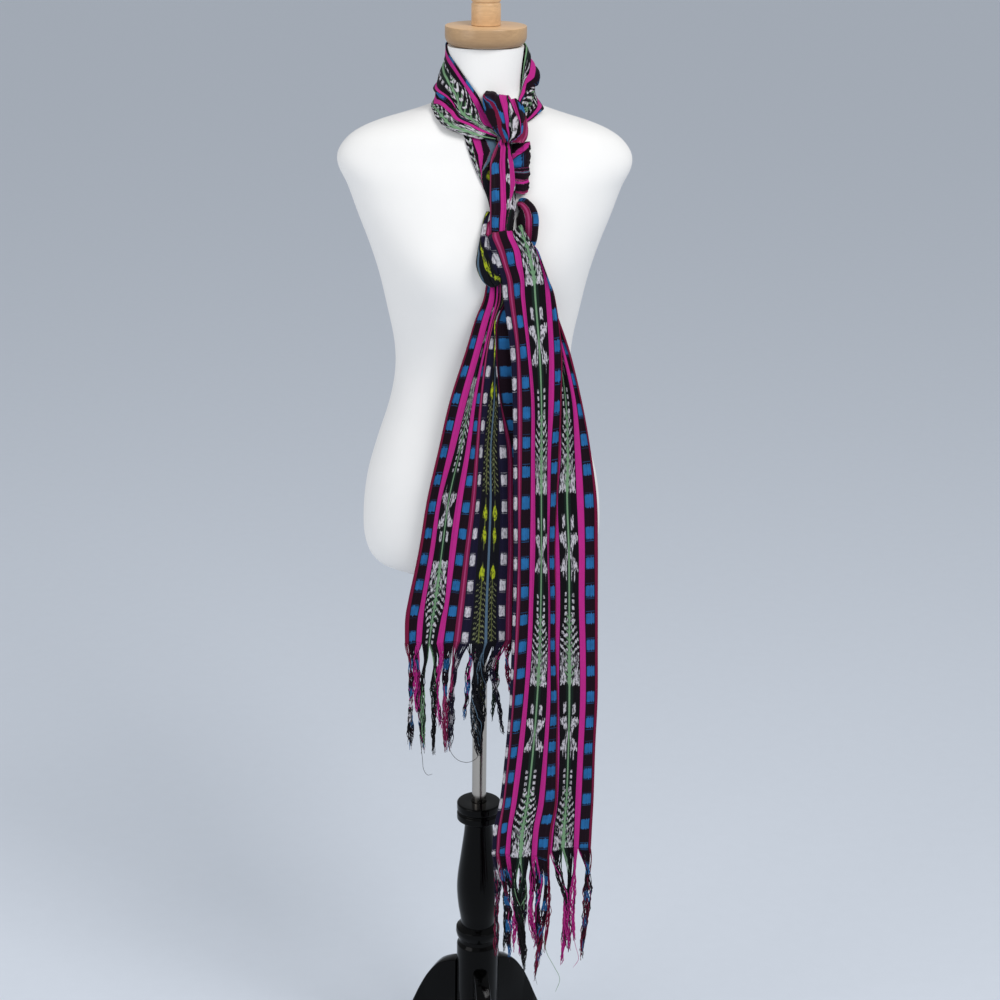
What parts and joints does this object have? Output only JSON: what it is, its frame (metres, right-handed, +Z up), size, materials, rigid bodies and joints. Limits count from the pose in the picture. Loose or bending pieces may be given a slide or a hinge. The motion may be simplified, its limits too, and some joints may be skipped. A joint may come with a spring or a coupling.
{
  "type": "fringed scarf on a dress form",
  "caption": "Long handwoven striped scarf with fringed ends, wound round a dress form's neck and knotted in front; the form turns and slides on a pole stand.",
  "frame": {"origin": "on the floor, under the middle of the whole part's bounding box", "axes": "+Z up along the pole; -Y the way the chest and the knot face; +X to the viewer's right when facing the chest"},
  "size_m": [0.4072, 0.3756, 1.6112],
  "materials": {
    "cotton": "handwoven warp stripes with tie-dyed jaspe bands",
    "form": "satin white",
    "pale_wood": "clear satin lacquer",
    "pole": "satin nickel",
    "black_wood": "gloss black lacquer"
  },
  "bodies": {
    "stand": {"stand_post": "black_wood", "leg_front": "black_wood", "leg_right": "black_wood", "leg_left": "black_wood"},
    "pole": {"pole": "pole"},
    "form": {"form_torso": "form", "neck_cap": "pale_wood", "cap_knob": "pale_wood", "scarf_neck_back": "cotton", "scarf_neck_left": "cotton", "scarf_neck_right": "cotton", "scarf_under": "cotton", "scarf_throw": "cotton", "scarf_core": "cotton", "scarf_wrap": "cotton", "scarf_loop": "cotton", "scarf_bulb": "cotton", "scarf_tail_front": "cotton", "scarf_tail_back": "cotton", "fringe_front": "cotton", "fringe_back": "cotton"}
  },
  "joints": [
    {"name": "height_slide", "type": "slide", "parent": "stand", "child": "pole", "axis": [0, 0, 1], "range_m": [-0.1, 0.15]},
    {"name": "turn_on_pole", "type": "hinge", "parent": "pole", "child": "form", "pos_m": [0.01114, 0.03921, 1.02], "axis": [0, 0, 1], "continuous": true}
  ]
}
